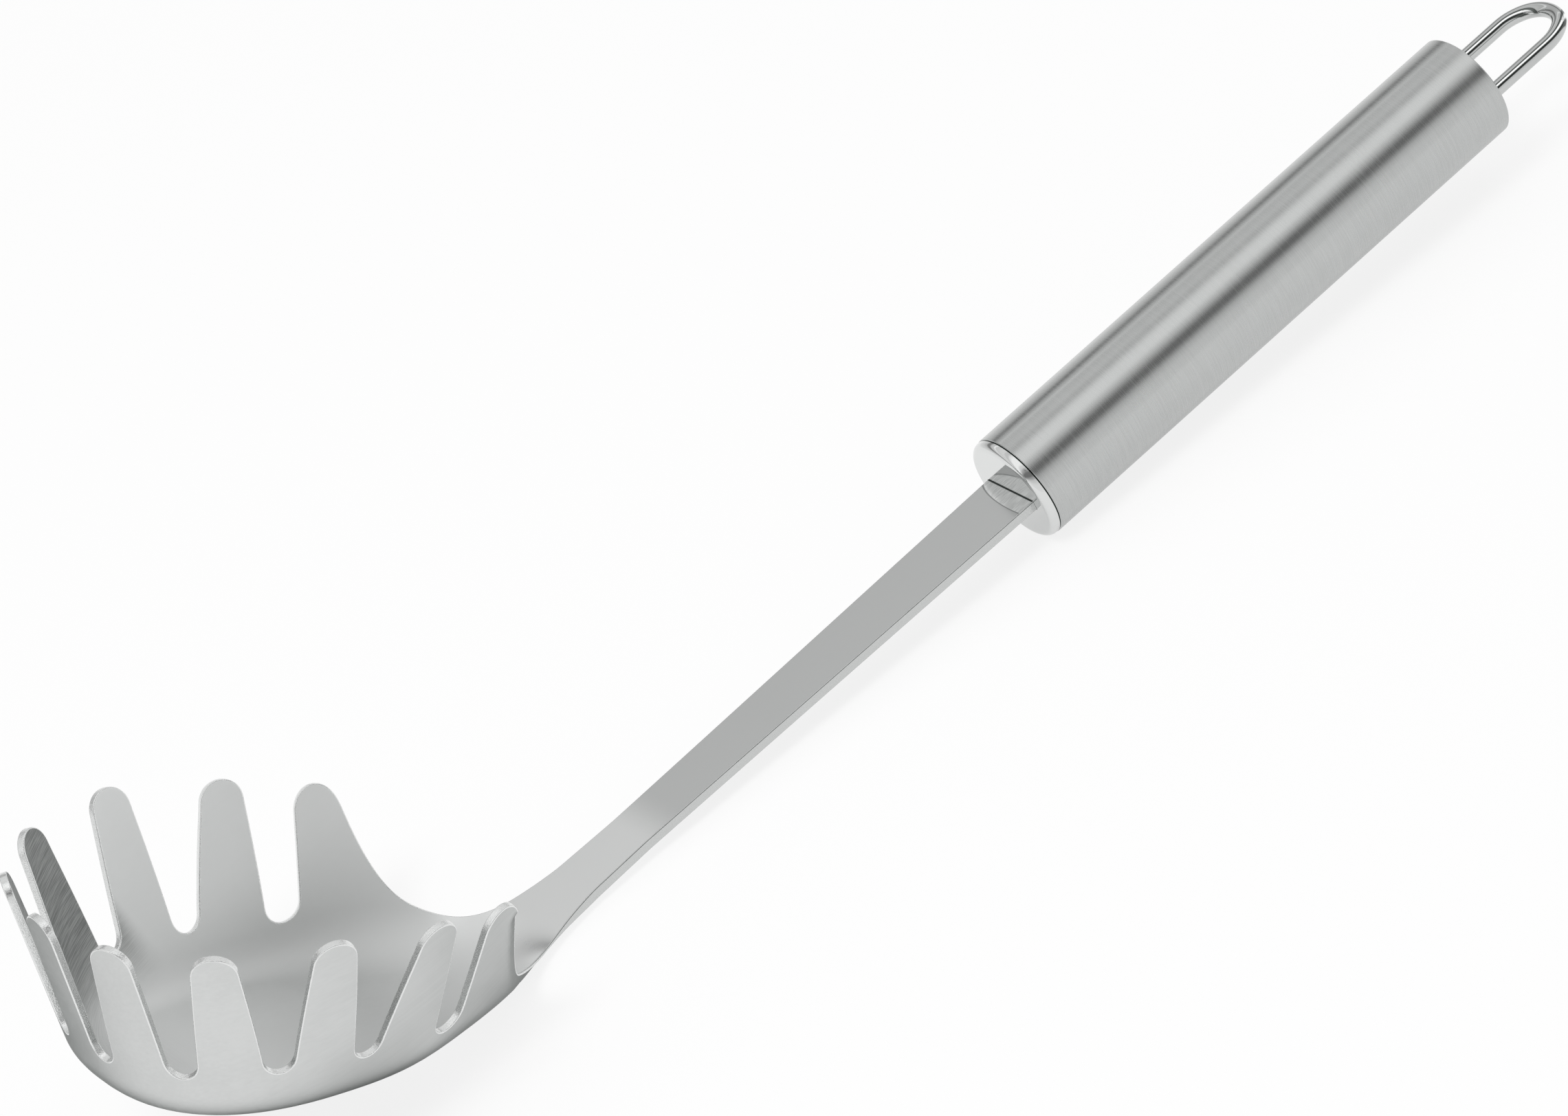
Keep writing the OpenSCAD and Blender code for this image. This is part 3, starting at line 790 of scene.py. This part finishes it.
def inside_details(tree, place, colour):
    """Adds what only the inside has: the brushed front tines with their painted shade, and the bright patch
    beside the cap.
    """
    x, y, z = parts(tree, place)
    ahead = maths(tree, "SUBTRACT", x, BRUSHED_MIDDLE_X)
    beyond = maths(tree, "MULTIPLY_ADD", ahead, BRUSHED_SPREAD, maths(tree, "ABSOLUTE", y))
    front = falling(tree, beyond, -BRUSHED_SOFT, BRUSHED_SOFT)
    high = rising(tree, z, BRUSHED_LOW_Z, BRUSHED_HIGH_Z)
    # Brushed streaks, in greys darkened as painted shade
    streaks = shaded(tree, noise(tree, stretched(tree, place, BRUSHED_GRAINS)), BRUSHED_AND_SHADE_GREYS)
    colour = mixed(tree, maths(tree, "MULTIPLY", front, high), colour, streaks)
    patch, rim, joint = patch_areas(tree, x, y)
    lines = shaded(tree, noise(tree, stretched(tree, place, PATCH_GRAINS)), PATCH_GREYS)
    colour = mixed(tree, patch, colour, lines)
    colour = mixed(tree, rim, colour, grey(RIM_GREY))
    return mixed(tree, joint, colour, grey(JOINT_GREY))


def sheet_finish(name, inside):
    """Satin sheet with a fine grain and faint clouds, smoother on the neck and the shank."""
    made, tree, shader, place, _ = steel(name)
    x, _, z = parts(tree, place)
    cloud = noise(tree, place, CLOUD_GRAINS)
    scratches = noise(tree, stretched(tree, place, SCRATCH_GRAINS))
    both = mixed_noise(tree, cloud, scratches, CLOUD_SHARE)
    on_neck = rising(tree, x, NECK_FROM_X, NECK_TO_X)
    on_shank = rising(tree, x, SHANK_FROM_X, SHANK_TO_X)
    if inside:
        high = rising(tree, z, SHEEN_LOW_Z, SHEEN_HIGH_Z)
        near_neck = rising(tree, x, NECK_SHEEN_FROM_X, NECK_TO_X)
        # Painted sheen, paler high on the tines' insides
        colour = mixed(tree, high, shaded(tree, both, INSIDE_GREYS), grey(PAINTED_SHEEN_GREY))
        # Painted sheen on the neck
        colour = mixed(tree, near_neck, colour, grey(NECK_SHEEN_GREY))
        colour = mixed(tree, on_shank, colour, grey(SHANK_GREY))
        colour = inside_details(tree, place, colour)
        rough = between(tree, both, INSIDE_ROUGHNESS)
        smoother = INSIDE_SMOOTHER
    else:
        low = falling(tree, z, SHADE_LOW_Z, SHADE_HIGH_Z)
        front = remap(tree, x, SHADE_FRONT_FROM_X, SHADE_FRONT_TO_X, SHADE_FRONT_SHARE, 1.0)
        back = falling(tree, x, SHADE_BACK_FROM_X, SHADE_BACK_TO_X)
        # Painted shade, darker low on the outside of the bowl
        painted_shade = maths(tree, "MULTIPLY", low, maths(tree, "MULTIPLY", front, back))
        colour = mixed(tree, painted_shade, shaded(tree, both, OUTSIDE_GREYS), grey(PAINTED_SHADE_GREY))
        # Painted sheen on the neck
        colour = mixed(tree, on_neck, colour, grey(NECK_SHEEN_GREY))
        colour = mixed(tree, on_shank, colour, grey(SHANK_GREY))
        shader.inputs["Specular Tint"].default_value = grey(OUTSIDE_GRAZING_SHARE)
        rough = between(tree, both, OUTSIDE_ROUGHNESS)
        smoother = OUTSIDE_SMOOTHER
    tree.links.new(colour, shader.inputs["Base Color"])
    tree.links.new(maths(tree, "MULTIPLY_ADD", on_neck, -smoother, rough), shader.inputs["Roughness"])
    bumped(tree, shader, scratches, SHEET_BUMP)
    return made


def edge_finish():
    """Sheared edge: scratches in patches, and on the shank a dark line along each corner."""
    made, tree, shader, place, facing = steel("sheared_edge_steel")
    on_shank = rising(tree, parts(tree, place)["X"], NECK_FROM_X, NECK_TO_X)
    colour = mixed(tree, on_shank, grey(EDGE_GREY), grey(EDGE_SHANK_GREY))
    off_corner = away(tree, parts(tree, facing)["Z"], CORNER_FACING)
    corner = maths(tree, "MULTIPLY", falling(tree, off_corner, 0.0, CORNER_SPREAD), on_shank)
    tree.links.new(mixed(tree, corner, colour, grey(CORNER_GREY)), shader.inputs["Base Color"])
    scratches = noise(tree, place, EDGE_GRAINS)
    patches = between(tree, noise(tree, place, EDGE_PATCH_GRAINS), (EDGE_SMOOTH_SHARE, 1.0))
    tree.links.new(between(tree, scratches, EDGE_ROUGHNESS), shader.inputs["Roughness"])
    bumped(tree, shader, maths(tree, "MULTIPLY", scratches, patches), EDGE_BUMP)
    return made


def mirror_finish():
    """Polished steel with the faintest haze and ripple, and dark in the seam at the tube."""
    made, tree, shader, place, _ = steel("mirror_cap_steel")
    haze = noise(tree, place, MIRROR_GRAINS)
    tree.links.new(between(tree, haze, MIRROR_ROUGHNESS), shader.inputs["Roughness"])
    _, along = handle_axis(tree, place)
    seam = in_seam(tree, along)
    tree.links.new(mixed(tree, seam, grey(MIRROR_GREY), grey(SEAM_GREY)), shader.inputs["Base Color"])
    bumped(tree, shader, noise(tree, place, RIPPLE_GRAINS), RIPPLE_BUMP)
    return made


def wire_finish():
    """Polished wire, with lines painted along it in place of the sharp bands that such wire mirrors."""
    made, tree, shader, place, facing = steel("polished_wire_steel")
    _, back, up = parts(tree, facing)
    wander = noise(tree, place, WIRE_GRAINS)
    back = maths(tree, "MULTIPLY_ADD", wander, -WIRE_WANDER, back)
    above = rising(tree, up, 0.0, LINE_ABOVE)
    colour = shaded(tree, wander, WIRE_GREYS)
    for forward, half, shade in WIRE_LINES:
        line = falling(tree, away(tree, back, -forward), LINE_CORE_SHARE * half, half)
        colour = mixed(tree, maths(tree, "MULTIPLY", line, above), colour, grey(shade))
    tree.links.new(colour, shader.inputs["Base Color"])
    tree.links.new(between(tree, wander, WIRE_ROUGHNESS), shader.inputs["Roughness"])
    return made


def tube_finish():
    """Steel brushed round the tube: each scratch runs round it, so reflections blur along the axis."""
    made, tree, shader, place, _ = steel("brushed_tube_steel")
    shader.inputs["Anisotropic"].default_value = TUBE_STRETCH
    axis, along = handle_axis(tree, place)
    tree.links.new(axis, shader.inputs["Tangent"])
    _, y, z = parts(tree, place)
    grains = add_node(tree, "ShaderNodeCombineXYZ", {
        "X": maths(tree, "MULTIPLY", along, TUBE_GRAINS_ALONG),
        "Y": maths(tree, "MULTIPLY", y, TUBE_GRAINS_ROUND),
        "Z": maths(tree, "MULTIPLY", z, TUBE_GRAINS_ROUND),
    })
    scratches = noise(tree, grains.outputs[0])
    cloud = noise(tree, place, TUBE_CLOUD_GRAINS)
    both = mixed_noise(tree, cloud, scratches, TUBE_CLOUD_SHARE)
    tree.links.new(between(tree, both, TUBE_ROUGHNESS), shader.inputs["Roughness"])
    brushed = shaded(tree, scratches, TUBE_GREYS)
    seam = in_seam(tree, along)
    tree.links.new(mixed(tree, seam, brushed, grey(SEAM_GREY)), shader.inputs["Base Color"])
    bumped(tree, shader, scratches, TUBE_BUMP)
    return made


# The three finishes are in the order of the faces' material slots
head.data.materials.append(sheet_finish("polished_inside_steel", True))
head.data.materials.append(edge_finish())
head.data.materials.append(sheet_finish("polished_sheet_steel", False))
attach(head, "root")
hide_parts("head_and_shank")


def dress(node, finish):
    """Gives a CAD node its material."""
    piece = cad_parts[node]
    piece.data.materials.clear()
    piece.data.materials.append(finish)


cap_steel = mirror_finish()
dress("front_cap", cap_steel)
dress("rear_cap", cap_steel)
dress("handle_tube", tube_finish())
dress("hanging_loop", wire_finish())

# Floor: pale for everything. The camera, and reflections in the metal, also see it glow, which makes it white
# and leaves the shadow soft.
FLOOR_SIZE = 6.0
FLOOR_GAP = 0.0002
FLOOR_COLOR = (0.93, 0.93, 0.93, 1.0)
FLOOR_ROUGHNESS = 0.9
WHITE = (1.0, 1.0, 1.0, 1.0)
CAMERA_GLOW_SHARE = 0.8
GLOSSY_GLOW_SHARE = 0.6
floor_places = np.array((
    (-FLOOR_SIZE, -FLOOR_SIZE, -FLOOR_GAP),
    (FLOOR_SIZE, -FLOOR_SIZE, -FLOOR_GAP),
    (FLOOR_SIZE, FLOOR_SIZE, -FLOOR_GAP),
    (-FLOOR_SIZE, FLOOR_SIZE, -FLOOR_GAP),
))
floor = new_mesh("pale_floor", floor_places, [(0, 1, 2, 3)])
floor_paint = bpy.data.materials.new("pale_floor_paint")
floor_paint.use_nodes = True
tree = floor_paint.node_tree
paint = tree.nodes["Principled BSDF"]
paint.inputs["Base Color"].default_value = FLOOR_COLOR
paint.inputs["Roughness"].default_value = FLOOR_ROUGHNESS
paint.inputs["Specular IOR Level"].default_value = 0.0
glow = add_node(tree, "ShaderNodeEmission", {"Color": WHITE, "Strength": 1.0})
ray = add_node(tree, "ShaderNodeLightPath")
glossy_share = maths(tree, "MULTIPLY", ray.outputs["Is Glossy Ray"], GLOSSY_GLOW_SHARE)
share = maths(tree, "MULTIPLY_ADD", ray.outputs["Is Camera Ray"], CAMERA_GLOW_SHARE, glossy_share)
blend = add_node(tree, "ShaderNodeMixShader", {0: share, 1: paint.outputs[0], 2: glow.outputs[0]})
tree.links.new(blend.outputs[0], tree.nodes["Material Output"].inputs["Surface"])
floor.data.materials.append(floor_paint)

# Studio: long soft panels that hang along the handle, so a place in it is an angle about the X axis. 0 is
# overhead, -90 the near side's horizon and 90 the far side's. Each row is such an angle, in degrees, and the
# light there.
PANELS = (
    (-95.0, 0.92),
    (-76.0, 0.88),
    (-64.0, 0.72),
    (-58.0, 0.44),
    (-52.0, 0.2),
    (-44.0, 0.2),
    (-38.0, 0.45),
    (-30.0, 0.8),
    (-20.0, 1.12),
    (-5.0, 1.12),
    (2.0, 0.95),
    (8.0, 0.7),
    (13.0, 0.7),
    (20.0, 0.84),
    (41.0, 0.74),
    (44.0, 1.2),
    (47.0, 0.72),
    (54.0, 0.66),
    (59.0, 0.26),
    (64.0, 0.26),
    (70.0, 0.62),
    (80.0, 0.78),
    (95.0, 0.92),
)
FULL_TURN = 360.0
RAMP_MIDDLE = 0.5
world = bpy.data.worlds.new("studio")
world.use_nodes = True
bpy.context.scene.world = world
tree = world.node_tree
background = tree.nodes["Background"]
direction = add_node(tree, "ShaderNodeTexCoord").outputs["Generated"]
_, sideways, upwards = parts(tree, direction)
turn = maths(tree, "ARCTAN2", sideways, upwards)
ramp_place = maths(tree, "MULTIPLY_ADD", turn, 1.0 / math.tau, RAMP_MIDDLE)
panels = add_node(tree, "ShaderNodeValToRGB", {"Fac": ramp_place})
ramp = panels.color_ramp
ramp.interpolation = "EASE"
while len(ramp.elements) < len(PANELS):
    ramp.elements.new(RAMP_MIDDLE)
for stop, (angle, light) in zip(ramp.elements, PANELS):
    stop.position = RAMP_MIDDLE + angle / FULL_TURN
    stop.color = (light, light, light, 1.0)
tree.links.new(panels.outputs["Color"], background.inputs["Color"])
background.inputs["Strength"].default_value = 1.0

# One soft lamp overhead gives the floor its level and the object its shadow
LAMP_PLACE = (-0.55, -0.4, 1.4)
LAMP_SIZE = 0.5
LAMP_POWER = 7.0
lamp_data = bpy.data.lights.new("overhead_lamp", "AREA")
lamp_data.shape = "SQUARE"
lamp_data.size = LAMP_SIZE
lamp_data.energy = LAMP_POWER
lamp = bpy.data.objects.new("overhead_lamp", lamp_data)
lamp.location = LAMP_PLACE
lamp.visible_glossy = False
lamp.rotation_euler = (-Vector(LAMP_PLACE)).to_track_quat("-Z", "Y").to_euler()
bpy.context.scene.collection.objects.link(lamp)

# Camera, fitted to the photograph
CAMERA_PLACE = (-0.37761, -0.84136, 0.64621)
CAMERA_TURN_DEGREES = (53.4404, 20.1040, -37.5571)
CAMERA_LENS = 155.03
CAMERA_SENSOR = 36.0
camera_data = bpy.data.cameras.new("camera")
camera_data.lens = CAMERA_LENS
camera_data.sensor_width = CAMERA_SENSOR
camera_data.sensor_fit = "HORIZONTAL"
camera = bpy.data.objects.new("camera", camera_data)
camera.location = CAMERA_PLACE
camera.rotation_euler = Euler([math.radians(d) for d in CAMERA_TURN_DEGREES], "XYZ")
bpy.context.scene.collection.objects.link(camera)
bpy.context.scene.camera = camera
bpy.context.scene.view_settings.view_transform = "Standard"
